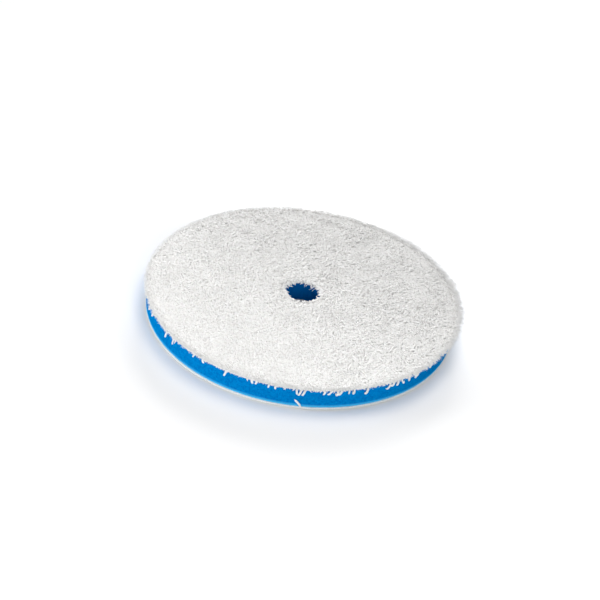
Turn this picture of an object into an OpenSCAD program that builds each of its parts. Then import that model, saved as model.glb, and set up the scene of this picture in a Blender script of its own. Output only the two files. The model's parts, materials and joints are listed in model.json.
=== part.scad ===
// Microfibre polishing pad with a foam interface and a hook-and-loop back.
// Origin: centre of the loop back's outer face, on the surface that the pad lies on.
// +Z runs up the pad's axis, from the loop back to the working face.

/* [Die cut] */
// Diameter that the laminated foam and cloths are die-cut to
die_d = 156; // [80:1:200]
// Diameter of the hole punched through every layer
hole_d = 20; // [10:0.5:40]

/* [Foam] */
// Thickness of the foam interface
foam_h = 10; // [5:0.5:40]
// Bevel left on the foam's two cut outer edges
foam_bevel = 0.5; // [0.2:0.1:1.5]

/* [Loop back] */
// Height of the brushed loops that the hooks of a backing plate grip
loop_pile_h = 0.8; // [0.5:0.1:3]
// Thickness of the knit that holds the loops
loop_ground_h = 0.4; // [0.2:0.1:1.5]

/* [Adhesive] */
// Thickness of each of the two laminating adhesive films
bond_h = 0.15; // [0.05:0.05:0.5]

/* [Working face] */
// Thickness of the knit that holds the pile
ground_h = 0.6; // [0.3:0.1:2]
// Height of the microfibre pile above its knit
pile_h = 3.2; // [2.5:0.1:12]
// How far the pile spreads past the die-cut edge
pile_overhang = 2; // [1.2:0.1:6]
// How far the spread pile hangs below the foam's top
pile_droop = 0.8; // [0.2:0.1:3]
// Rounding of the pile's top edge around the rim
pile_rim_round = 2; // [0.5:0.1:2.4]
// Rounding of the pile's top edge around the hole
pile_hole_round = 1.2; // [0.3:0.1:2.4]
// Rounding of the hanging pile's lower edge
pile_lip_round = 0.4; // [0.1:0.1:0.5]
// Clearance between the hanging pile and the foam's side
pile_side_gap = 0.3; // [0.2:0.05:0.6]

/* [Loose yarn ends] */
// Thickness of one yarn of the pile
yarn_d = 0.8; // [0.4:0.1:0.8]
// Shortest yarn end that hangs at the rim
yarn_drop_min = 1.2; // [0.6:0.1:2]
// How much longer the longest hanging yarn end is
yarn_drop_more = 2.4; // [0:0.1:3]

/* [Hidden] */
$fn = 96;
overcut = 1;

die_r = die_d / 2;
hole_r = hole_d / 2;
pile_r = die_r + pile_overhang;
yarn_r = yarn_d / 2;

// Levels of the laminate, from the loop back's face up
loop_ground_z = loop_pile_h;
back_bond_z = loop_ground_z + loop_ground_h;
foam_z = back_bond_z + bond_h;
face_bond_z = foam_z + foam_h;
ground_z = face_bond_z + bond_h;
pile_z = ground_z + ground_h;
top_z = pile_z + pile_h;

// The pile that hangs over the rim
lip_r = die_r + pile_side_gap;
lip_z = face_bond_z - pile_droop;

// Yarn ends hang in groups around the rim: [first angle, angle between ends, ends]
yarn_groups = [
    [-157, 4, 2], [-141, 4.5, 2], [-125, 3, 2], [-112, 3, 1], [-103, 2.5, 2], [-96, 2, 2],
    [-87, 1.6, 3], [-77, 2, 6], [-62, 3, 1], [-53, 1.6, 4], [-44, 1.6, 4], [-36, 3, 3],
    [-12, 4, 2], [35, 3, 3], [82, 5, 3], [128, 3, 4], [168, 6, 2]
];
// Lengths of neighbouring ends step round a circle by this angle, so they look unsorted
yarn_length_step = 137.5;
yarn_ring_r = lip_r + yarn_r;

// One die-cut layer of the laminate with the punched hole through it
module layer(z, h) {
    translate([0, 0, z])
        difference() {
            cylinder(r = die_r, h = h);
            translate([0, 0, -overcut])
                cylinder(r = hole_r, h = h + 2 * overcut);
        }
}

// A rectangle in the pile's section, from radius r0 to r1 and level z0 to z1
module band(r0, r1, z0, z1) {
    translate([r0, z0])
        square([r1 - r0, z1 - z0]);
}

// A quarter disc in the pile's section, on the side that side_r and side_z point to
module corner(r, z, size, side_r, side_z) {
    translate([r, z])
        intersection() {
            circle(r = size);
            translate([side_r > 0 ? 0 : -size, side_z > 0 ? 0 : -size])
                square(size);
        }
}

// Half section of the pile: a slab over the knit with soft edges and a hanging lip
module pile_section() {
    band(hole_r + pile_hole_round, pile_r - pile_rim_round, pile_z, top_z);
    band(hole_r, hole_r + pile_hole_round, pile_z, top_z - pile_hole_round);
    corner(hole_r + pile_hole_round, top_z - pile_hole_round, pile_hole_round, -1, 1);
    band(pile_r - pile_rim_round, pile_r, pile_z, top_z - pile_rim_round);
    corner(pile_r - pile_rim_round, top_z - pile_rim_round, pile_rim_round, 1, 1);
    band(lip_r, pile_r, lip_z + pile_lip_round, pile_z);
    band(lip_r, pile_r - pile_lip_round, lip_z, lip_z + pile_lip_round);
    corner(pile_r - pile_lip_round, lip_z + pile_lip_round, pile_lip_round, 1, -1);
}

// Brushed nylon loops on the outside of the back
module loop_pile() {
    color("whitesmoke")
        layer(0, loop_pile_h);
}

// Knit that the loops are anchored in
module loop_ground() {
    color("gainsboro")
        layer(loop_ground_z, loop_ground_h);
}

// Adhesive film between the loop knit and the foam
module back_bond() {
    color("lemonchiffon")
        layer(back_bond_z, bond_h);
}

// Open-cell foam disc with both cut edges slightly bevelled
module foam_core() {
    color("dodgerblue")
        translate([0, 0, foam_z])
            difference() {
                union() {
                    cylinder(r1 = die_r - foam_bevel, r2 = die_r, h = foam_bevel);
                    translate([0, 0, foam_bevel])
                        cylinder(r = die_r, h = foam_h - 2 * foam_bevel);
                    translate([0, 0, foam_h - foam_bevel])
                        cylinder(r1 = die_r, r2 = die_r - foam_bevel, h = foam_bevel);
                }
                translate([0, 0, -overcut])
                    cylinder(r = hole_r, h = foam_h + 2 * overcut);
            }
}

// Adhesive film between the foam and the pile's knit
module face_bond() {
    color("lemonchiffon")
        layer(face_bond_z, bond_h);
}

// Knit that the microfibre pile is anchored in
module ground_cloth() {
    color("gainsboro")
        layer(ground_z, ground_h);
}

// Envelope of the microfibre pile, hanging a little over the rim
module face_pile() {
    color("white")
        rotate_extrude()
            pile_section();
}

// One loose yarn end with a rounded tip, hanging from the pile's lower edge
module yarn_end(drop) {
    translate([yarn_ring_r, 0, lip_z - drop + yarn_r]) {
        cylinder(r = yarn_r, h = drop - yarn_r, $fn = 24);
        sphere(r = yarn_r, $fn = 24);
    }
}

// All the loose yarn ends around the rim
module rim_yarn_ends() {
    color("white")
        for (g = [0 : len(yarn_groups) - 1])
            for (i = [0 : yarn_groups[g][2] - 1])
                rotate([0, 0, yarn_groups[g][0] + i * yarn_groups[g][1]])
                    yarn_end(yarn_drop_min + yarn_drop_more * abs(sin((3 * g + i) * yarn_length_step)));
}

loop_pile();
loop_ground();
back_bond();
foam_core();
face_bond();
ground_cloth();
face_pile();
rim_yarn_ends();
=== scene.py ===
"""Microfibre polishing pad: white pile face, blue foam interface, hook-and-loop back."""

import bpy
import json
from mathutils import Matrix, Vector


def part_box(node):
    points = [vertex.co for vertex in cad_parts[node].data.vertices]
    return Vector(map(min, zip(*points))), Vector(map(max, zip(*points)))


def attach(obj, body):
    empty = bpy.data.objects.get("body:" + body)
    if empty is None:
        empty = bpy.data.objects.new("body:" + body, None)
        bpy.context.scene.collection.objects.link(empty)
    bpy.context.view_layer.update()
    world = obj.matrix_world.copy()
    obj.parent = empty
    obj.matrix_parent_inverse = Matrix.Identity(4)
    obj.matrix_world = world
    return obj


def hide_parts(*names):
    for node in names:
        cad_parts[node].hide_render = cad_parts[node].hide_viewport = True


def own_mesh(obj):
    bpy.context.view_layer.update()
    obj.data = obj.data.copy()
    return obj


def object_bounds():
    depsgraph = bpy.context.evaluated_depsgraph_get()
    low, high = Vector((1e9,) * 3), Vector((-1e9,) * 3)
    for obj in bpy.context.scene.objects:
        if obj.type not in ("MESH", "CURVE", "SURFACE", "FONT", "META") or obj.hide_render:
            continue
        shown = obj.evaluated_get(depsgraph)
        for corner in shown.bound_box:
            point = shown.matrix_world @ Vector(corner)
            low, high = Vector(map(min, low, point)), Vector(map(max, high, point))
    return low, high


bl_info = {
    "name": "Microfibre Polishing Pad",
    "version": (1, 0, 0),
    "blender": (4, 5, 0),
    "location": "3D View > Sidebar > Pad",
    "description": "Builds a microfibre polishing pad layer by layer around its packed frame",
    "category": "Add Mesh",
}

import json
import math
import random

import bmesh
import bpy
import numpy as np
from bpy.props import FloatProperty, FloatVectorProperty, IntProperty, PointerProperty
from mathutils import Matrix, Quaternion, Vector, noise

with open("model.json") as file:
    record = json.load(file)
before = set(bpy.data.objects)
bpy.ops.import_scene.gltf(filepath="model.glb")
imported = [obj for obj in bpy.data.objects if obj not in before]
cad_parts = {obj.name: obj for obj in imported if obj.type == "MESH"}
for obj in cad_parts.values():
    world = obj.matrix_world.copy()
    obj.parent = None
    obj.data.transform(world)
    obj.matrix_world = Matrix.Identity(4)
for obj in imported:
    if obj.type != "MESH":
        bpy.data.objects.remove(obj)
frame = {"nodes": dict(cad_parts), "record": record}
CAD_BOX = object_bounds()

MM = 0.001
GOLDEN_ANGLE = math.pi * (3 - math.sqrt(5))

# Steps round the disc in the foam, the pile's bed and the knits, and rows of cells up the foam's side
FOAM_STEPS, BED_STEPS, KNIT_STEPS = 1000, 560, 400
FOAM_ROWS = 23
# Widest that a face of the bed and of a knit gets across
BED_FINEST, KNIT_FINEST = 1.1 * MM, 3.0 * MM

# The pile is brushed open towards the back right. There it lies in low rows, which run along ROW_ALONG
BRUSHED_WAY = Vector((0.6, 0.8, 0))
ROW_ALONG = Vector((0.87, -0.5, 0))
ROW_ACROSS = Vector((0.5, 0.87, 0))
# Painted shade where the pile is brushed open: share of its own tone that the open pile's yarns keep, and
# the bed under them
OPEN_YARN_PAINTED_SHADE, OPEN_BED_PAINTED_SHADE = 0.88, 0.74
# How far the pile's surface is rounded down at the rim and at the hole, and how much deeper the bed
# lies where the pile is brushed open
RIM_SINK, HOLE_SINK, OPEN_SINK = 1.9 * MM, 1.2 * MM, 1.8 * MM

# Each yarn has a small square of its own on the map, this many to a row
BAKE_MAP = "OFBake"
YARNS_A_ROW = 80
YARN_CELL = 1 / YARNS_A_ROW

# Thickness along a yarn, a fine fibre and a loose yarn end, from the root to the tip
YARN_PROFILE = (0.0, 0.9, 1.0, 0.97, 0.8, 0.0)
FIBRE_PROFILE = (0.0, 1.0, 0.8, 0.0)
END_PROFILE = (0.0, 0.95, 1.0, 0.95, 0.95, 0.9, 0.7, 0.0)

# Tufts that stand out into the hole: middle and spread of their angles, how many yarns, how far they
# reach in millimetres, and how thick they are beside the pile's other yarns
HOLE_TUFTS = ((-152, 13, 24, 4.4, 1.0), (180, 10, 9, 2.8, 1.0), (55, 16, 12, 6.0, 0.35))

# Groups of loose yarn ends around the rim: first angle, angle between ends, how many ends,
# how far they hang in millimetres, and how tangled they are from 0 to 1
YARN_GROUPS = (
    (-157, 4, 2, 1.2, 0.8), (-141, 4.5, 2, 2.6, 0.0), (-125, 3, 2, 0.8, 0.5), (-112, 3, 1, 2.2, 0.1),
    (-103, 2.5, 2, 0.6, 0.4), (-96, 2, 2, 0.9, 0.7), (-87, 1.6, 3, 2.4, 0.4), (-77, 2, 6, 2.2, 0.8),
    (-62, 3, 1, 2.2, 0.8), (-53, 1.6, 4, 3.2, 1.0), (-44, 1.6, 4, 3.2, 1.0), (-36, 3, 3, 1.6, 0.5),
    (-12, 4, 2, 1.5, 0.5), (35, 3, 3, 1.4, 0.5), (82, 5, 3, 1.2, 0.4), (128, 3, 4, 1.8, 0.7),
    (168, 6, 2, 1.5, 0.4),
)
# Angle at which one cut yarn clings low on the foam's side
STRAY_ANGLE = -86

# Softboxes round the pad: their places and widths in metres
SOFTBOXES = {
    "top": ((0.1, 0.35, 1.5), 1.2),
    "far": ((0.0, 1.6, 0.6), 0.6),
    "back": ((0.3, 0.7, 0.33), 0.4),
    "front": ((0.1, -0.45, 0.22), 0.3),
    "side": ((-0.6, -0.15, 0.15), 0.25),
}


# --- places that come from the frame ---------------------------------------------------------

def level(node):
    """Lowest and highest level of a CAD node."""
    low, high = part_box(node)
    return low.z, high.z


def radius(node):
    """Outer radius of a round CAD node."""
    low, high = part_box(node)
    return (high.x - low.x) / 2


def hole_radius():
    """Radius of the punched centre hole, as the centre_hole mount states it."""
    mounts = {m["name"]: m for m in frame["record"]["mounts"]}
    return mounts["centre_hole"]["dims"]["r_mm"] * MM


DIE_R = radius("foam_core")
HOLE_R = hole_radius()
FOAM_Z, FOAM_TOP = level("foam_core")
KNIT_TOP = level("ground_cloth")[1]
PILE_TOP = level("face_pile")[1]
LOOPS_Z, LOOPS_TOP = level("loop_pile")


# --- settings ----------------------------------------------------------------------------------

def length(name, description, default):
    """A size in metres, shown in the scene's units."""
    return FloatProperty(name=name, description=description, default=default, unit="LENGTH", precision=5)


def share(name, description, default):
    """A share from 0 to 1."""
    return FloatProperty(name=name, description=description, default=default, min=0, max=1,
                         subtype="FACTOR")


def colour(name, description, default):
    """A linear colour."""
    return FloatVectorProperty(name=name, description=description, default=default, size=3,
                               min=0, max=1, subtype="COLOR")


def brightness(name, default):
    """How bright a softbox makes a white card at the pad."""
    return FloatProperty(name=name, description="How much it brightens a white card at the pad",
                         default=default)


class PadFoamSettings(bpy.types.PropertyGroup):
    """Sizes and colours of the foam interface."""
    bevel: length("Cut edge bevel", "Bevel on the foam's cut edges", 0.5 * MM)
    cell: length("Cell size", "Width of the foam's open cells", 0.6 * MM)
    roughen: length("Cut roughness", "How far the cut cells stand in and out", 0.07 * MM)
    colour: colour("Foam", "Colour of the foam's cut side", (0.0, 0.26, 0.655))
    cell_colour: colour("Open cells", "Colour inside the cut cells", (0.0, 0.13, 0.47))
    # Painted light: the thin lower edge is paler, where light comes through
    edge_painted_light: colour("Lower edge", "Colour of the thin lower edge, where light comes through",
                        (0.10, 0.62, 1.0))
    # Painted shade: the foam is darker in and round the hole, where it lies in shade
    hole_painted_shade: colour("Hole", "Colour of the foam where the hole's punch has glazed it",
                        (0.0, 0.11, 0.36))
    fill: share("Fill", "How full and tight the foam is", 1.0)


class PadPileSettings(bpy.types.PropertyGroup):
    """Sizes and colours of the microfibre working face."""
    yarns: IntProperty(name="Yarns", description="Yarns that stand in the pile", default=30000, min=100)
    rim_yarns: IntProperty(name="Rim yarns", description="Yarns that fan out round the rim",
                           default=2300, min=100)
    hole_yarns: IntProperty(name="Hole yarns", description="Yarns that lean into the hole",
                            default=260, min=10)
    fibres: IntProperty(name="Loose fibres", description="Fine fibres that stand out of the pile",
                        default=11000, min=100)
    sectors: IntProperty(name="Sectors", description="Pieces that the pile is divided into",
                         default=8, min=1)
    yarn_r: length("Yarn radius", "Half the thickness of one pile yarn", 0.46 * MM)
    fibre_r: length("Fibre radius", "Half the thickness of one loose fibre", 0.07 * MM)
    lean: length("Lean", "How far a yarn's tip lies from its root", 1.5 * MM)
    nap_x: length("Nap across", "How far the whole pile is brushed to the right", 1.5 * MM)
    nap_y: length("Nap back", "How far the whole pile is brushed to the back", 0.6 * MM)
    rim_round: length("Rim rounding", "Width of the pile's rounded rim", 5.0 * MM)
    hole_round: length("Hole rounding", "Width of the pile's rounded edge at the hole", 2.5 * MM)
    mound: length("Mounds", "Height of the low mounds that the pile lies in", 0.55 * MM)
    nub: length("Nubs", "Height of the small nubs that the yarns clump into", 0.9 * MM)
    reach: length("Rim reach", "How far the rim's yarns stand past the foam", 2.3 * MM)
    combed: length("Combed reach", "How much further the rim's yarns reach where they are brushed out",
                   2.6 * MM)
    curl: length("Curl", "How far a yarn swings sideways along its length", 0.6 * MM)
    bed_drop: length("Bed depth", "How far the dense pile between the yarns lies below their tips",
                     1.0 * MM)
    colour: colour("Pile", "Colour of the yarns' tips", (0.955, 0.95, 0.94))
    # Painted shade: the standing yarns darken towards this colour at their roots, deep in the pile, and
    # the bed between them takes it too
    root_painted_shade: colour("Roots", "Colour of the yarns near their roots", (0.80, 0.785, 0.77))
    seed: IntProperty(name="Seed", description="Starts the random layout of the yarns", default=11)


class PadBackSettings(bpy.types.PropertyGroup):
    """Sizes and colours of the loop back and the adhesive films."""
    loops: IntProperty(name="Loops", description="Brushed loops on the back", default=8000, min=100)
    loop_r: length("Loop filament", "Half the thickness of one loop's filament", 0.09 * MM)
    loop_w: length("Loop width", "Width of one loop at its foot", 0.9 * MM)
    colour: colour("Loops", "Colour of the loops", (0.92, 0.92, 0.91))
    knit_colour: colour("Back knit", "Colour of the knit that holds the loops", (0.97, 0.97, 0.965))
    knit_proud: length("Knit edge", "How far the back knit's cut edge stands out past the foam", 0.3 * MM)
    adhesive_colour: colour("Adhesive", "Colour of the adhesive films", (0.90, 0.89, 0.86))
    seed: IntProperty(name="Seed", description="Starts the random layout of the loops", default=5)


class PadStageSettings(bpy.types.PropertyGroup):
    """Camera, lights and floor."""
    distance: length("Camera distance", "From the camera to the pad", 0.75)
    elevation: FloatProperty(name="Camera elevation", description="Above the horizon",
                             default=math.radians(34.5), subtype="ANGLE")
    roll: FloatProperty(name="Camera roll", description="Turn of the picture about the view",
                        default=math.radians(8.6), subtype="ANGLE")
    lens: FloatProperty(name="Lens", description="Focal length in millimetres", default=88.8)
    aim_x: length("Aim across", "How far right of the pad's axis the camera aims", -0.6 * MM)
    aim_z: length("Aim height", "How high above the floor the camera aims", 7.7 * MM)
    floor: length("Floor", "Width of the floor", 8.0)
    world: FloatProperty(name="Room light", description="Strength of the even light", default=0.15)
    top: brightness("Top softbox", 0.49)
    far: brightness("Far softbox", 0.19)
    back: brightness("Back softbox", 0.11)
    front: brightness("Front softbox", 0.19)
    side: brightness("Side softbox", 0.12)


# --- materials ---------------------------------------------------------------------------------

class Shader:
    """A node material around one Principled shader."""

    def __init__(self, name, roughness=0.9, sheen=0.0, ior_level=0.3):
        self.material = bpy.data.materials.new(name)
        self.material.use_nodes = True
        self.tree = self.material.node_tree
        self.principled = self.tree.nodes["Principled BSDF"]
        self.principled.inputs["Roughness"].default_value = roughness
        self.principled.inputs["Sheen Weight"].default_value = sheen
        self.principled.inputs["Sheen Roughness"].default_value = 0.6
        self.principled.inputs["Specular IOR Level"].default_value = ior_level

    def node(self, kind, **values):
        """A new node. Values name its own settings or its inputs' values."""
        made = self.tree.nodes.new(kind)
        for key, value in values.items():
            if hasattr(made, key):
                setattr(made, key, value)
            else:
                made.inputs[key.replace("_", " ")].default_value = value
        return made

    def link(self, start, end):
        """Joins an output to an input."""
        self.tree.links.new(start, end)

    def place(self):
        """The piece's own Object coordinates."""
        return self.node("ShaderNodeTexCoord").outputs["Object"]

    def split(self, vector):
        """The x, y and z of a vector."""
        parts = self.node("ShaderNodeSeparateXYZ")
        self.link(vector, parts.inputs["Vector"])
        return [parts.outputs[axis] for axis in "XYZ"]

    def layout(self):
        """The piece's own map, which has a square for each yarn."""
        return self.node("ShaderNodeUVMap", uv_map=BAKE_MAP).outputs["UV"]

    def tints(self, layout):
        """A random value from 0 to 1 for each yarn's square on the map."""
        cell = self.node("ShaderNodeVectorMath", operation="SNAP")
        cell.inputs[1].default_value = (YARN_CELL,) * 3
        self.link(layout, cell.inputs[0])
        tint = self.node("ShaderNodeTexWhiteNoise", noise_dimensions="3D")
        self.link(cell.outputs["Vector"], tint.inputs["Vector"])
        return tint.outputs["Value"]

    def shade(self, tone, share):
        """A colour with painted shade: it falls to a share of itself where the pile is brushed open, at
        the back right.
        """
        x, y, _ = self.split(self.place())
        right = self.maths("MULTIPLY", x, BRUSHED_WAY.x)
        back = self.maths("MULTIPLY", y, BRUSHED_WAY.y)
        open_shade_mask = self.spread(self.maths("ADD", right, back), -0.2 * DIE_R, DIE_R)
        # Painted shade: towards the back right the colour keeps only this share of itself
        return self.mix(open_shade_mask, tone, (share,) * 3, blend_type="MULTIPLY")

    def noise(self, vector, scale, detail=2.0):
        """A noise pattern with this many features a metre."""
        made = self.node("ShaderNodeTexNoise", Scale=scale, Detail=detail)
        self.link(vector, made.inputs["Vector"])
        return made.outputs["Fac"]

    def cells(self, vector, scale, feature="F1"):
        """Distance to the nearest cell's middle, with this many cells a metre."""
        made = self.node("ShaderNodeTexVoronoi", Scale=scale, feature=feature)
        self.link(vector, made.inputs["Vector"])
        return made.outputs["Distance"]

    def waves(self, vector, count, way):
        """Wavy stripes across the X or Y axis, about this many a metre."""
        made = self.node("ShaderNodeTexWave", Scale=count / math.pi, Distortion=1.5, Detail=1.0,
                         bands_direction=way)
        self.link(vector, made.inputs["Vector"])
        return made.outputs["Fac"]

    def maths(self, operation, a, b=0.5):
        """One sum on values or sockets."""
        made = self.node("ShaderNodeMath", operation=operation)
        for value, socket in zip((a, b), made.inputs):
            if isinstance(value, (int, float)):
                socket.default_value = value
            else:
                self.link(value, socket)
        return made.outputs["Value"]

    def spread(self, value, low, high, to_low=0.0, to_high=1.0):
        """The value's range low..high stretched to to_low..to_high."""
        made = self.node("ShaderNodeMapRange", From_Min=low, From_Max=high, To_Min=to_low,
                         To_Max=to_high)
        self.link(value, made.inputs["Value"])
        return made.outputs["Result"]

    def mix(self, factor, a, b, blend_type="MIX"):
        """A colour between a and b, or another blend of them. They are colours or sockets."""
        made = self.node("ShaderNodeMix", data_type="RGBA", blend_type=blend_type)
        self.link(factor, made.inputs[0])
        for value, socket in ((a, made.inputs[6]), (b, made.inputs[7])):
            if isinstance(value, bpy.types.NodeSocket):
                self.link(value, socket)
            else:
                socket.default_value = (*value, 1)
        return made.outputs[2]

    def paint(self, socket):
        """Gives the surface its colour."""
        self.link(socket, self.principled.inputs["Base Color"])

    def emboss(self, height, strength, distance):
        """A bump from a height pattern."""
        made = self.node("ShaderNodeBump", Strength=strength, Distance=distance)
        self.link(height, made.inputs["Height"])
        self.link(made.outputs["Normal"], self.principled.inputs["Normal"])


def foam_material(foam):
    """Open-cell foam: small dark cells between brighter walls, with painted light that makes it paler
    along the lower edge, and painted shade in the hole.
    """
    s = Shader("blue_foam", roughness=0.9, ior_level=0.0)
    place = s.place()
    cells = s.spread(s.cells(place, 1 / foam.cell), 0.15, 0.75)
    patches = s.spread(s.noise(place, 0.5 / foam.cell, 3), 0.38, 0.62)
    depth = s.maths("MULTIPLY", s.maths("ADD", cells, patches), 0.5)
    body = s.mix(depth, foam.cell_colour, foam.colour)
    height = s.split(place)[2]
    # Painted light along the foam's lower edge
    edge_light_mask = s.spread(height, FOAM_Z + 2.0 * MM, FOAM_Z + 0.2 * MM)
    body = s.mix(edge_light_mask, body, foam.edge_painted_light)
    radial = s.node("ShaderNodeVectorMath", operation="LENGTH")
    s.link(place, radial.inputs[0])
    # Painted shade in and round the hole, within 2.5 hole radii of the axis
    hole_shade_mask = s.spread(radial.outputs["Value"], 2.5 * HOLE_R, 2 * HOLE_R)
    s.paint(s.mix(hole_shade_mask, body, foam.hole_painted_shade))
    s.emboss(s.noise(place, 1 / foam.cell * 1.7, 4), 0.6, 0.25 * MM)
    return s.material


def yarn_material(pile, name, root):
    """Split microfibre yarn: each yarn has its own tint and a twist. Where a root of another colour is
    given, painted shade darkens it towards that root, and it takes painted shade where the pile is brushed
    open.
    """
    s = Shader(name, roughness=0.95, sheen=0.2, ior_level=0.15)
    layout = s.layout()
    u, v, _ = s.split(layout)
    along = s.maths("FRACT", s.maths("MULTIPLY", u, YARNS_A_ROW))
    across = s.maths("FRACT", s.maths("MULTIPLY", v, YARNS_A_ROW))
    # Painted shade along the yarn, from the root colour at its root to the pile's colour at its tip
    body = s.mix(s.spread(along, 0.15, 0.8), root, pile.colour)
    lighter = tuple(min(1.0, c * 1.06) for c in pile.colour)
    tinted = s.mix(s.spread(s.tints(layout), 0.0, 1.0, 0.0, 0.6), body, lighter)
    # Painted shade on the yarns where the pile is brushed open
    s.paint(s.shade(tinted, OPEN_YARN_PAINTED_SHADE))
    turns = s.maths("ADD", s.maths("MULTIPLY", along, 5.0), across)
    twist = s.maths("SINE", s.maths("MULTIPLY", turns, 2 * math.pi))
    s.emboss(twist, 0.5, 0.05 * MM)
    return s.material


def bed_material(pile):
    """The dense pile seen between the yarns, with painted shade: the root colour mixed at random with the
    pile's colour, and darker where the pile is brushed open.
    """
    s = Shader("microfibre_bed", roughness=1.0, sheen=0.2, ior_level=0.1)
    place = s.place()
    # Painted shade between the yarns: the root colour, mixed at random with the pile's colour
    fluff = s.spread(s.noise(place, 1500, 4), 0.35, 0.7)
    # Painted shade on the bed where the pile is brushed open
    s.paint(s.shade(s.mix(fluff, pile.root_painted_shade, pile.colour), OPEN_BED_PAINTED_SHADE))
    s.emboss(s.noise(place, 2200, 4), 0.7, 0.3 * MM)
    return s.material


def knit_material(name, base, stitches):
    """A knit: rows of small stitches, this many a metre."""
    s = Shader(name, roughness=0.95, sheen=0.2, ior_level=0.15)
    place = s.place()
    stitch = s.maths("MULTIPLY", s.waves(place, stitches, "X"), s.waves(place, stitches, "Y"))
    s.paint(s.mix(s.spread(stitch, 0.0, 0.8), tuple(c * 0.9 for c in base), base))
    s.emboss(stitch, 0.6, 0.15 * MM)
    return s.material


def loop_material(back):
    """Nylon filament, a little glossy, with its own tint on each loop."""
    s = Shader("nylon_loops", roughness=0.5, sheen=0.3, ior_level=0.4)
    s.paint(s.mix(s.tints(s.layout()), tuple(c * 0.9 for c in back.colour), back.colour))
    return s.material


def adhesive_material(back):
    """Hot-melt film: a slightly glossy cream layer with small voids."""
    s = Shader("adhesive_film", roughness=0.45, ior_level=0.5)
    place = s.place()
    voids = s.spread(s.cells(place, 900), 0.1, 0.6)
    s.paint(s.mix(voids, tuple(c * 0.85 for c in back.adhesive_colour), back.adhesive_colour))
    s.emboss(voids, 0.3, 0.05 * MM)
    return s.material


def floor_material():
    """Glossy white studio acrylic."""
    s = Shader("studio_floor", roughness=0.12, ior_level=0.15)
    s.principled.inputs["Base Color"].default_value = (0.93, 0.93, 0.93, 1)
    return s.material


# --- making pieces -----------------------------------------------------------------------------

def add_piece(name, mesh, material, body, slot, *nodes):
    """Puts a finished mesh in the scene as a piece that rides on a body and stands for CAD nodes."""
    mesh.materials.clear()
    mesh.materials.append(material)
    mesh.shade_smooth()
    piece = bpy.data.objects.new(name, mesh)
    bpy.context.scene.collection.objects.link(piece)
    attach(piece, body)
    if nodes:
        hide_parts(*nodes)
    return piece


def mesh_from(name, bm):
    """A mesh from a bmesh, with its doubles merged and its faces turned outwards."""
    bmesh.ops.remove_doubles(bm, verts=bm.verts, dist=1e-7)
    bmesh.ops.recalc_face_normals(bm, faces=bm.faces)
    mesh = bpy.data.meshes.new(name)
    bm.to_mesh(mesh)
    bm.free()
    return mesh


def spun_ring(section, steps, finest=None):
    """A closed ring: the section's points (radius, level) spun round the pad's axis. Its faces are
    then divided across, so that none is wider than the finest size."""
    bm = bmesh.new()
    corners = [bm.verts.new((r, 0, z)) for r, z in section]
    for a, b in zip(corners, corners[1:] + corners[:1]):
        bm.edges.new((a, b))
    bmesh.ops.spin(bm, geom=bm.verts[:] + bm.edges[:], cent=(0, 0, 0), axis=(0, 0, 1),
                   angle=2 * math.pi, steps=steps, use_merge=True, use_duplicate=False)
    if finest:
        divide_across(bm, finest)
    return bm


def divide_across(bm, finest):
    """Divides the long edges that lie in the ring's section, an equal number of times all round."""
    longest = {}
    for edge in bm.edges:
        a, b = (v.co for v in edge.verts)
        if abs(a.x * b.y - a.y * b.x) < 1e-9:
            cuts = math.ceil(edge.calc_length() / finest - 0.01) - 1
            longest.setdefault(cuts, []).append(edge)
    for cuts, edges in longest.items():
        if cuts > 0:
            bmesh.ops.subdivide_edges(bm, edges=edges, cuts=cuts, use_grid_fill=True)


def roughen(bm, depth, scale, where=lambda v: 1.0):
    """Moves every vertex in and out along its normal by a noise pattern, never past its place."""
    bm.normal_update()
    moves = []
    for v in bm.verts:
        bump = noise.noise(v.co * scale) * 0.6 + noise.noise(v.co * scale * 2.3) * 0.4
        moves.append((v, v.normal * (bump - 0.4) * depth * where(v)))
    for v, move in moves:
        v.co += move


def yarns_mesh(name, yarns):
    """One mesh of many yarns. Each yarn is a list of points and radii; both its ends close to a point.
    Its map gives each yarn a small square of its own: along it, then round it."""
    curve = bpy.data.curves.new(name, "CURVE")
    curve.dimensions = "3D"
    curve.fill_mode = "FULL"
    curve.bevel_depth = 1.0
    curve.bevel_resolution = 0
    for points, radii in yarns:
        spline = curve.splines.new("POLY")
        spline.points.add(len(points) - 1)
        spline.points.foreach_set("co", [c for p in points for c in (*p, 1.0)])
        spline.points.foreach_set("radius", radii)
        spline.use_smooth = True
    holder = bpy.data.objects.new(name, curve)
    mesh = bpy.data.meshes.new_from_object(holder)
    bpy.data.objects.remove(holder)
    bpy.data.curves.remove(curve)
    place_on_map(mesh, len(yarns))
    bm = bmesh.new()
    bm.from_mesh(mesh)
    bmesh.ops.remove_doubles(bm, verts=bm.verts, dist=1e-8)
    bm.to_mesh(mesh)
    bm.free()
    mesh.name = name
    return mesh


def place_on_map(mesh, count):
    """Turns the curve's own map, which every yarn fills, into one with a square for each yarn."""
    uv = np.empty(len(mesh.loops) * 2, np.float32)
    mesh.uv_layers[0].data.foreach_get("uv", uv)
    uv = uv.reshape(-1, 2)
    index = np.repeat(np.arange(count), len(mesh.loops) // count)
    inset = 0.04 + 0.92 * uv
    uv[:, 0] = (index % YARNS_A_ROW + inset[:, 0]) * YARN_CELL
    uv[:, 1] = (index // YARNS_A_ROW % YARNS_A_ROW + inset[:, 1]) * YARN_CELL
    mesh.uv_layers.remove(mesh.uv_layers[0])
    mesh.uv_layers.new(name=BAKE_MAP).data.foreach_set("uv", uv.ravel())


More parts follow.
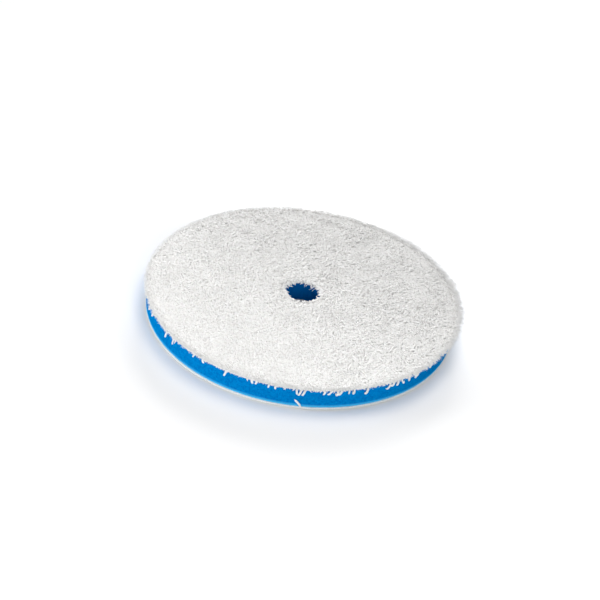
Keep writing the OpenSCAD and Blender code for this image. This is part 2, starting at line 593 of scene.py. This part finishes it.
def yarn(rng, root, lean, rise, side, curl, r, droop=0.0, profile=YARN_PROFILE):
    """Points and radii of one yarn. It rises from its root, leans over and curls sideways."""
    across = Vector((-lean.y, lean.x, 0)).normalized()
    phase = rng.uniform(0, 2 * math.pi)
    points = []
    for k in range(len(profile)):
        t = k / (len(profile) - 1)
        swing = curl * (math.sin(phase + 5.0 * t) - math.sin(phase)) * t + side * t * t
        up = rise * (1 - (1 - t) ** 2.2) - droop * t ** 3
        points.append(root + lean * t ** 1.3 + across * swing + Vector((0, 0, up)))
    return points, [r * share for share in profile]


# --- operators ---------------------------------------------------------------------------------

class PAD_OT_foam(bpy.types.Operator):
    """Cut foam disc with rough open cells on its side and in the hole"""
    bl_idname = "pad.foam"
    bl_label = "Foam interface"

    def execute(self, context):
        foam = context.scene.pad_foam
        b = foam.bevel
        inner, outer = HOLE_R, DIE_R
        section = [(inner, FOAM_Z), (outer - b, FOAM_Z), (outer, FOAM_Z + b), (outer, FOAM_TOP - b),
                   (outer - b, FOAM_TOP), (inner, FOAM_TOP)]
        bm = spun_ring(section, FOAM_STEPS)
        cut_foam_side(bm)
        roughen(bm, foam.roughen, 1 / foam.cell, lambda v: 0.0 if hidden_in_foam(v) else 1.0)
        piece = add_piece("foam_core_cut", mesh_from("foam_core_cut", bm), foam_material(foam),
                          "backing", "foam", "foam_core")
        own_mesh(piece)
        return {"FINISHED"}


def cut_foam_side(bm):
    """Divides the foam's upright faces finely, so that the cut cells can stand in and out."""
    upright = [e for e in bm.edges if abs(e.verts[0].co.z - e.verts[1].co.z) > 2 * MM]
    bmesh.ops.subdivide_edges(bm, edges=upright, cuts=FOAM_ROWS - 1, use_grid_fill=True)


def hidden_in_foam(v):
    """True on the foam's flat faces, which the cloths cover."""
    r = v.co.xy.length
    flat = min(v.co.z - FOAM_Z, FOAM_TOP - v.co.z) < 0.01 * MM
    return flat and HOLE_R + 0.1 * MM < r < DIE_R - 1.0 * MM


class PAD_OT_adhesive(bpy.types.Operator):
    """Adhesive films between the cloths and the foam"""
    bl_idname = "pad.adhesive"
    bl_label = "Adhesive films"

    def execute(self, context):
        film = adhesive_material(context.scene.pad_back)
        for node in ("face_bond", "back_bond"):
            mesh = frame["nodes"][node].data
            mesh.materials.clear()
            mesh.materials.append(film)
        return {"FINISHED"}


class PAD_OT_knits(bpy.types.Operator):
    """Knit cloths that hold the pile and the loops"""
    bl_idname = "pad.knits"
    bl_label = "Knit cloths"

    def execute(self, context):
        pile, back = context.scene.pad_pile, context.scene.pad_back
        self.cloth("ground_cloth", "face", "face_knit", pile.colour, 900, 0.0, ["face_bond"])
        self.cloth("loop_ground", "backing", "back_knit", back.knit_colour, 1100, back.knit_proud,
                   ["back_bond"])
        return {"FINISHED"}

    def cloth(self, node, body, slot, base, stitches, proud, rests_on):
        """A knit disc in a CAD node's place, whose cut edge stands this much proud of the foam."""
        low, high = level(node)
        edge = DIE_R + proud
        section = [(HOLE_R, low), (edge, low), (edge, high), (HOLE_R, high)]
        bm = spun_ring(section, KNIT_STEPS, finest=KNIT_FINEST)
        roughen(bm, (high - low) * 0.12, 900)
        name = slot + "_cloth"
        piece = add_piece(name, mesh_from(name, bm), knit_material(slot, base, stitches), body, slot, node)


def around(turn):
    """The unit vector that points out from the axis at this turn."""
    return Vector((math.cos(turn), math.sin(turn), 0))


def looseness(place):
    """From 0 at the front left, where the pile is dense, to 1 at the back right, where it is open."""
    return min(1.0, max(0.0, 0.5 + place.dot(BRUSHED_WAY) / (1.7 * DIE_R)))


def sink(place, pile):
    """How far the pile's surface lies below its highest level here: it is rounded over at the rim
    and at the hole, and lies in low mounds between."""
    r = place.length
    rim = max(0.0, 1 - (DIE_R + 1.0 * MM - r) / pile.rim_round)
    hole = max(0.0, 1 - (r - HOLE_R) / pile.hole_round)
    loose = looseness(place)
    rows = Vector((place.dot(ROW_ALONG) * 60, place.dot(ROW_ACROSS) * 210, 0))
    mound = 0.5 + 0.5 * noise.noise(place * 160) + (0.3 + 1.6 * loose) * noise.noise(rows)
    nub = 0.5 + 0.3 * noise.noise(place * 480) + 0.5 * noise.noise(place * 260)
    return (RIM_SINK * rim ** 2 + HOLE_SINK * hole ** 2 + pile.nub * nub
            + pile.mound * max(0.0, mound) * (0.4 + 2.6 * loose ** 2) * (1 - 0.7 * rim))


class PAD_OT_pile(bpy.types.Operator):
    """Microfibre pile: a dense bed with thousands of short curly yarns standing in it"""
    bl_idname = "pad.pile"
    bl_label = "Microfibre pile"

    def execute(self, context):
        pile = context.scene.pad_pile
        self.nap = Vector((pile.nap_x, pile.nap_y, 0))
        noise.seed_set(pile.seed)
        self.bed(pile)
        self.yarns(pile)
        self.fibres(pile)
        return {"FINISHED"}

    def bed(self, pile):
        """The dense pile between the yarns, with the same rounded and mounded surface."""
        top = PILE_TOP - pile.bed_drop
        rim, hole = DIE_R + 0.1 * MM, HOLE_R + 0.1 * MM
        section = [(hole, KNIT_TOP), (rim, KNIT_TOP), (rim, top), (hole, top)]
        bm = spun_ring(section, BED_STEPS, finest=BED_FINEST)
        for v in bm.verts:
            if v.co.z > top - 0.01 * MM:
                place = v.co.xy.to_3d()
                deep = sink(place, pile) + OPEN_SINK * looseness(place)
                v.co.z = max(KNIT_TOP + 0.3 * MM, top - deep)
        roughen(bm, 0.3 * MM, 800, lambda v: 1.0 if v.normal.z > -0.5 else 0.0)
        mesh = mesh_from("pile_bed", bm)
        add_piece("pile_bed", mesh, bed_material(pile), "face", "pile", "face_pile")

    def yarns(self, pile):
        """Every yarn, laid out like seeds in a sunflower and jittered, in sectors of the disc."""
        rng = random.Random(pile.seed)
        inner, outer = HOLE_R + 0.5 * MM, DIE_R + 0.2 * MM
        groups = [[] for _ in range(pile.sectors)]

        def plant(turn, made):
            """Puts a yarn in the sector that it stands in."""
            groups[int(turn % (2 * math.pi) / (2 * math.pi) * pile.sectors)].append(made)

        for n in range(pile.yarns):
            r = math.sqrt(inner ** 2 + (outer ** 2 - inner ** 2) * (n + 0.5) / pile.yarns)
            turn = n * GOLDEN_ANGLE + rng.uniform(-0.3, 0.3) * MM / r
            plant(turn, self.standing(rng, pile, around(turn) * (r + rng.uniform(-0.3, 0.3) * MM)))
        for n in range(pile.rim_yarns):
            turn = n * GOLDEN_ANGLE
            plant(turn, self.fanned(rng, pile, turn, DIE_R - rng.uniform(0.3, 1.2) * MM, 1,
                                    pile.reach * rng.uniform(0.5, 1.1)))
        for n in range(pile.hole_yarns):
            turn = n * GOLDEN_ANGLE
            plant(turn, self.fanned(rng, pile, turn, HOLE_R + rng.uniform(0.3, 0.9) * MM, -1,
                                    rng.uniform(1.2, 3.2) * MM))
        for middle, wide, count, reach, thick in HOLE_TUFTS:
            for _ in range(count):
                turn = math.radians(rng.gauss(middle, wide))
                plant(turn, self.fanned(rng, pile, turn, HOLE_R + 0.6 * MM, -1,
                                        reach * MM * rng.uniform(0.6, 1.1), thick))
        # The standing yarns take painted shade towards their roots
        material = yarn_material(pile, "microfibre_yarn", pile.root_painted_shade)
        for n, yarns in enumerate(groups):
            add_piece(f"pile_yarns_{n + 1}", yarns_mesh(f"pile_yarns_{n + 1}", yarns), material,
                      "face", "pile", "face_pile")

    def standing(self, rng, pile, place):
        """A yarn of the pile: it stands up from the knit, lies over, and its end dips in again."""
        loose = looseness(place)
        flow = noise.noise_vector(place * 60)
        angle = math.atan2(flow.y, flow.x) + rng.gauss(0, 1.0)
        lean = around(angle) * pile.lean * rng.uniform(0.5, 1.1) * (1 - 0.35 * loose)
        lean += self.nap * (0.2 + 1.1 * loose)
        near_edge = max(0.0, 1 - (DIE_R - place.length) / (3.5 * MM))
        lean += place.normalized() * pile.reach * 0.7 * near_edge * rng.uniform(0.2, 1)
        root = place - lean * 0.5 + Vector((0, 0, KNIT_TOP + 0.3 * MM))
        root -= around(math.atan2(root.y, root.x)) * max(0.0, root.xy.length - DIE_R + 0.4 * MM)
        dip = rng.uniform(0.3, 1.0 + 0.8 * loose) * MM
        short = rng.uniform(0.0, 0.1 + 2.2 * loose) * MM * (1 - 0.7 * near_edge)
        rise = max(PILE_TOP - root.z - pile.yarn_r - sink(place, pile) - short,
                   rng.uniform(0.2, 0.9) * MM)
        return yarn(rng, root, lean, rise + dip * 0.3, rng.gauss(0, 0.35) * MM, pile.curl,
                    pile.yarn_r * rng.uniform(0.8, 1.1), dip + near_edge * 0.8 * MM)

    def fanned(self, rng, pile, turn, r, way, reach, thick=1.0):
        """A yarn on the pile's side at the rim (way 1) or the hole (way -1). It starts at any height,
        stands out and droops. On the side that the pile is brushed to, the rim's yarns are combed out
        further and are thinner."""
        out = around(turn) * way
        high = rng.uniform(0, 1)
        combed = max(0.0, out.dot(self.nap.normalized())) ** 2 * rng.uniform(0, 1) ** 1.5
        root = around(turn) * r + Vector((0, 0, KNIT_TOP + (0.1 + 1.5 * high) * MM))
        lean = out * reach * (1 - 0.5 * high ** 2)
        lean += Vector((-out.y, out.x, 0)) * rng.gauss(0, 1.1) * MM
        if way > 0:
            lean += out * pile.combed * combed + self.nap * rng.uniform(0.1, 0.7)
        rise = rng.uniform(-0.2, 0.4) * (1 - combed) * MM
        tufts = max(0.2, noise.noise(around(turn) * 12) * 1.6 + noise.noise(around(turn) * 45) * 1.2 + 0.9)
        droop = rng.uniform(0.1, 1.4) * MM * (1 - 0.4 * high) * tufts
        return yarn(rng, root, lean, rise, rng.gauss(0, 0.3) * MM, pile.curl,
                    pile.yarn_r * thick * rng.uniform(0.75, 1.05) * (1 - 0.45 * combed), droop)

    def fibres(self, pile):
        """Fine loose fibres that make the pile's edge and surface fuzzy. Two in three are at the rim.
        There they are thicker and reach further on the side that the pile is brushed to."""
        rng = random.Random(pile.seed + 2)
        some = []
        for n in range(pile.fibres):
            out = around(rng.uniform(0, 2 * math.pi))
            lean = around(rng.uniform(0, 2 * math.pi)) * rng.uniform(0.3, 1.4) * MM + self.nap * 0.6
            rise = rng.uniform(0.1, 0.8) * MM
            r = pile.fibre_r
            if n % 3:
                root = out * (DIE_R + rng.uniform(0, 1.2) * MM)
                root.z = KNIT_TOP + rng.uniform(0.2, 1.8) * MM
                combed = max(0.0, out.dot(self.nap.normalized())) ** 2
                lean = lean * 0.6 + out * rng.uniform(0.5, 2.0 + 2.4 * combed) * MM
                r *= 1 + 1.2 * combed * rng.uniform(0, 1)
            else:
                root = out * math.sqrt(rng.uniform(HOLE_R ** 2, DIE_R ** 2))
                root.z = PILE_TOP - 0.8 * MM - sink(root, pile)
            some.append(yarn(rng, root, lean, rise, rng.gauss(0, 0.4) * MM, pile.curl * 1.3,
                             r, 0.2 * MM, FIBRE_PROFILE))
        material = yarn_material(pile, "loose_fibre", pile.colour)
        add_piece("pile_fibres", yarns_mesh("pile_fibres", some), material, "face", "pile", "face_pile")


class PAD_OT_yarn_ends(bpy.types.Operator):
    """Loose yarn ends hanging over the blue rim"""
    bl_idname = "pad.yarn_ends"
    bl_label = "Loose yarn ends"

    def execute(self, context):
        pile = context.scene.pad_pile
        rng = random.Random(pile.seed + 1)
        ends = [self.stray(pile)]
        for first, step, count, drop, tangle in YARN_GROUPS:
            for n in range(count):
                turn = math.radians(first + (n + rng.uniform(-0.4, 0.4) * tangle) * step)
                ends.append(self.end(rng, pile, turn, drop * MM * rng.uniform(1 - 0.75 * tangle, 1.0),
                                     tangle))
        mesh = yarns_mesh("rim_yarn_ends_curled", ends)
        material = yarn_material(pile, "loose_yarn", pile.colour)
        add_piece("rim_yarn_ends_curled", mesh, material, "face", "yarn", "rim_yarn_ends")
        return {"FINISHED"}

    def end(self, rng, pile, turn, drop, tangle):
        """One yarn end: out over the rim and down the foam's side. A tangled one swings aside, and its
        tip hooks up again."""
        out = around(turn)
        across = Vector((-out.y, out.x, 0)) * rng.choice((-1, -1, 1))
        swing = rng.uniform(0.0, 0.6) * (drop + 1 * MM)
        hook = tangle * rng.uniform(0.0, 2.2) * MM
        bend = math.pi / 2 * (1 + 0.8 * tangle * rng.uniform(0, 1))
        points = []
        for k in range(len(END_PROFILE)):
            t = k / (len(END_PROFILE) - 1)
            r = DIE_R + (0.2 + 1.1 * math.sin(2.2 * t + 0.2)) * MM
            down = (drop + 0.8 * MM) * math.sin(bend * t)
            aside = swing * t + hook * (1 - math.cos(math.pi * t)) / 2
            points.append(out * r + across * aside + Vector((0, 0, KNIT_TOP + 0.3 * MM - down)))
        radius = pile.yarn_r * rng.uniform(0.95, 1.4)
        return points, [radius * share for share in END_PROFILE]

    def stray(self, pile):
        """A cut yarn that clings low on the foam's side."""
        out = around(math.radians(STRAY_ANGLE))
        across = Vector((-out.y, out.x, 0))
        points = []
        for k in range(len(END_PROFILE)):
            t = k / (len(END_PROFILE) - 1)
            bow = math.sin(math.pi * t)
            points.append(out * (DIE_R + (0.45 + 0.25 * bow) * MM)
                          + across * (3.8 * t - 1.9 + 0.5 * bow) * MM
                          + Vector((0, 0, FOAM_Z + (4.6 - 4.7 * t) * MM)))
        return points, [pile.yarn_r * 1.25 * share for share in END_PROFILE]


class PAD_OT_loops(bpy.types.Operator):
    """Brushed loops on the back, for the backing plate's hooks"""
    bl_idname = "pad.loops"
    bl_label = "Back loops"

    def execute(self, context):
        back = context.scene.pad_back
        rng = random.Random(back.seed)
        yarns = []
        for n in range(back.loops):
            r = math.sqrt(HOLE_R ** 2 + (DIE_R ** 2 - HOLE_R ** 2) * (n + 0.5) / back.loops)
            yarns.append(self.loop(rng, back, min(r, DIE_R - 0.8 * MM), n * GOLDEN_ANGLE))
        half = len(yarns) // 2
        material = loop_material(back)
        for n, some in enumerate((yarns[:half], yarns[half:])):
            add_piece(f"back_loops_{n + 1}", yarns_mesh(f"back_loops_{n + 1}", some), material,
                      "backing", "loops", "loop_pile")
        return {"FINISHED"}

    def loop(self, rng, back, r, turn):
        """One arch of filament that hangs from the knit, tipped over by the brushing."""
        centre = around(turn) * r
        along = around(rng.uniform(0, math.pi)) * back.loop_w / 2 * rng.uniform(0.7, 1.3)
        tip = Vector((rng.gauss(0, 0.3), rng.gauss(0, 0.3), 0)) * MM
        deep = LOOPS_TOP - LOOPS_Z - 1.1 * back.loop_r
        points, radii = [], []
        for k in range(6):
            t = k / 5
            arch = math.sin(math.pi * t)
            across = -math.cos(math.pi * t)
            points.append(centre + along * across + tip * arch
                          + Vector((0, 0, LOOPS_TOP - deep * arch * 0.995)))
            radii.append(back.loop_r if 0 < k < 5 else 0.0)
        return points, radii


class PAD_OT_stage(bpy.types.Operator):
    """Pale floor, soft lights and the camera"""
    bl_idname = "pad.stage"
    bl_label = "Stage"

    def execute(self, context):
        stage = context.scene.pad_stage
        self.floor(stage)
        self.world(context, stage)
        for name, (place, size) in SOFTBOXES.items():
            self.softbox("softbox_" + name, Vector(place), size, getattr(stage, name))
        self.camera(context, stage)
        return {"FINISHED"}

    def floor(self, stage):
        """A flat floor at the pad's lowest level."""
        bm = bmesh.new()
        bmesh.ops.create_grid(bm, x_segments=1, y_segments=1, size=stage.floor / 2,
                              matrix=Matrix.Translation((0, 0, CAD_BOX[0].z)))
        mesh = bpy.data.meshes.new("floor")
        bm.to_mesh(mesh)
        bm.free()
        mesh.materials.append(floor_material())
        floor = bpy.data.objects.new("floor", mesh)
        bpy.context.scene.collection.objects.link(floor)

    def world(self, context, stage):
        """An even white light from all round."""
        world = bpy.data.worlds.new("studio")
        world.use_nodes = True
        background = world.node_tree.nodes["Background"]
        background.inputs["Color"].default_value = (1, 1, 1, 1)
        background.inputs["Strength"].default_value = stage.world
        context.scene.world = world
        context.scene.view_settings.view_transform = "Standard"
        context.scene.view_settings.look = "None"

    def softbox(self, name, place, size, brightness):
        """A round softbox that faces the pad. Its power makes a white card there this bright."""
        light = bpy.data.lights.new(name, "AREA")
        light.shape = "DISK"
        light.size = size
        light.energy = brightness * (math.pi * place.length) ** 2 * place.length / place.z
        lamp = bpy.data.objects.new(name, light)
        lamp.location = place
        lamp.rotation_mode = "QUATERNION"
        lamp.rotation_quaternion = (-place).to_track_quat("-Z", "Y")
        bpy.context.scene.collection.objects.link(lamp)

    def camera(self, context, stage):
        """The camera, which looks down at the pad from the front."""
        data = bpy.data.cameras.new("camera")
        data.lens = stage.lens
        data.clip_start = 0.01
        data.clip_end = 20
        camera = bpy.data.objects.new("camera", data)
        aim = Vector((stage.aim_x, 0, stage.aim_z))
        back = Vector((0, -math.cos(stage.elevation), math.sin(stage.elevation)))
        camera.location = aim + back * stage.distance
        camera.rotation_mode = "QUATERNION"
        camera.rotation_quaternion = ((-back).to_track_quat("-Z", "Y")
                                      @ Quaternion((0, 0, 1), stage.roll))
        context.scene.collection.objects.link(camera)
        context.scene.camera = camera


# --- panel and registration --------------------------------------------------------------------

class PAD_PT_build(bpy.types.Panel):
    """Lists the pad's pieces and their settings"""
    bl_label = "Polishing pad"
    bl_idname = "PAD_PT_build"
    bl_space_type = "VIEW_3D"
    bl_region_type = "UI"
    bl_category = "Pad"

    def draw(self, context):
        for operator in OPERATORS:
            self.layout.operator(operator.bl_idname)
        for name in SETTINGS:
            group = getattr(context.scene, name)
            box = self.layout.box()
            for key in group.__annotations__:
                box.prop(group, key)


OPERATORS = (PAD_OT_foam, PAD_OT_adhesive, PAD_OT_knits, PAD_OT_pile, PAD_OT_yarn_ends, PAD_OT_loops,
             PAD_OT_stage)
SETTINGS = {"pad_foam": PadFoamSettings, "pad_pile": PadPileSettings, "pad_back": PadBackSettings,
            "pad_stage": PadStageSettings}


def register():
    for made in (*SETTINGS.values(), *OPERATORS, PAD_PT_build):
        bpy.utils.register_class(made)
    for name, group in SETTINGS.items():
        setattr(bpy.types.Scene, name, PointerProperty(type=group))


def unregister():
    for name in SETTINGS:
        delattr(bpy.types.Scene, name)
    for made in (PAD_PT_build, *reversed(OPERATORS), *SETTINGS.values()):
        bpy.utils.unregister_class(made)


def main():
    """Builds every piece in order."""
    register()
    bpy.ops.pad.foam()
    bpy.ops.pad.adhesive()
    bpy.ops.pad.knits()
    bpy.ops.pad.pile()
    bpy.ops.pad.yarn_ends()
    bpy.ops.pad.loops()
    bpy.ops.pad.stage()


if __name__ == "__main__":
    main()
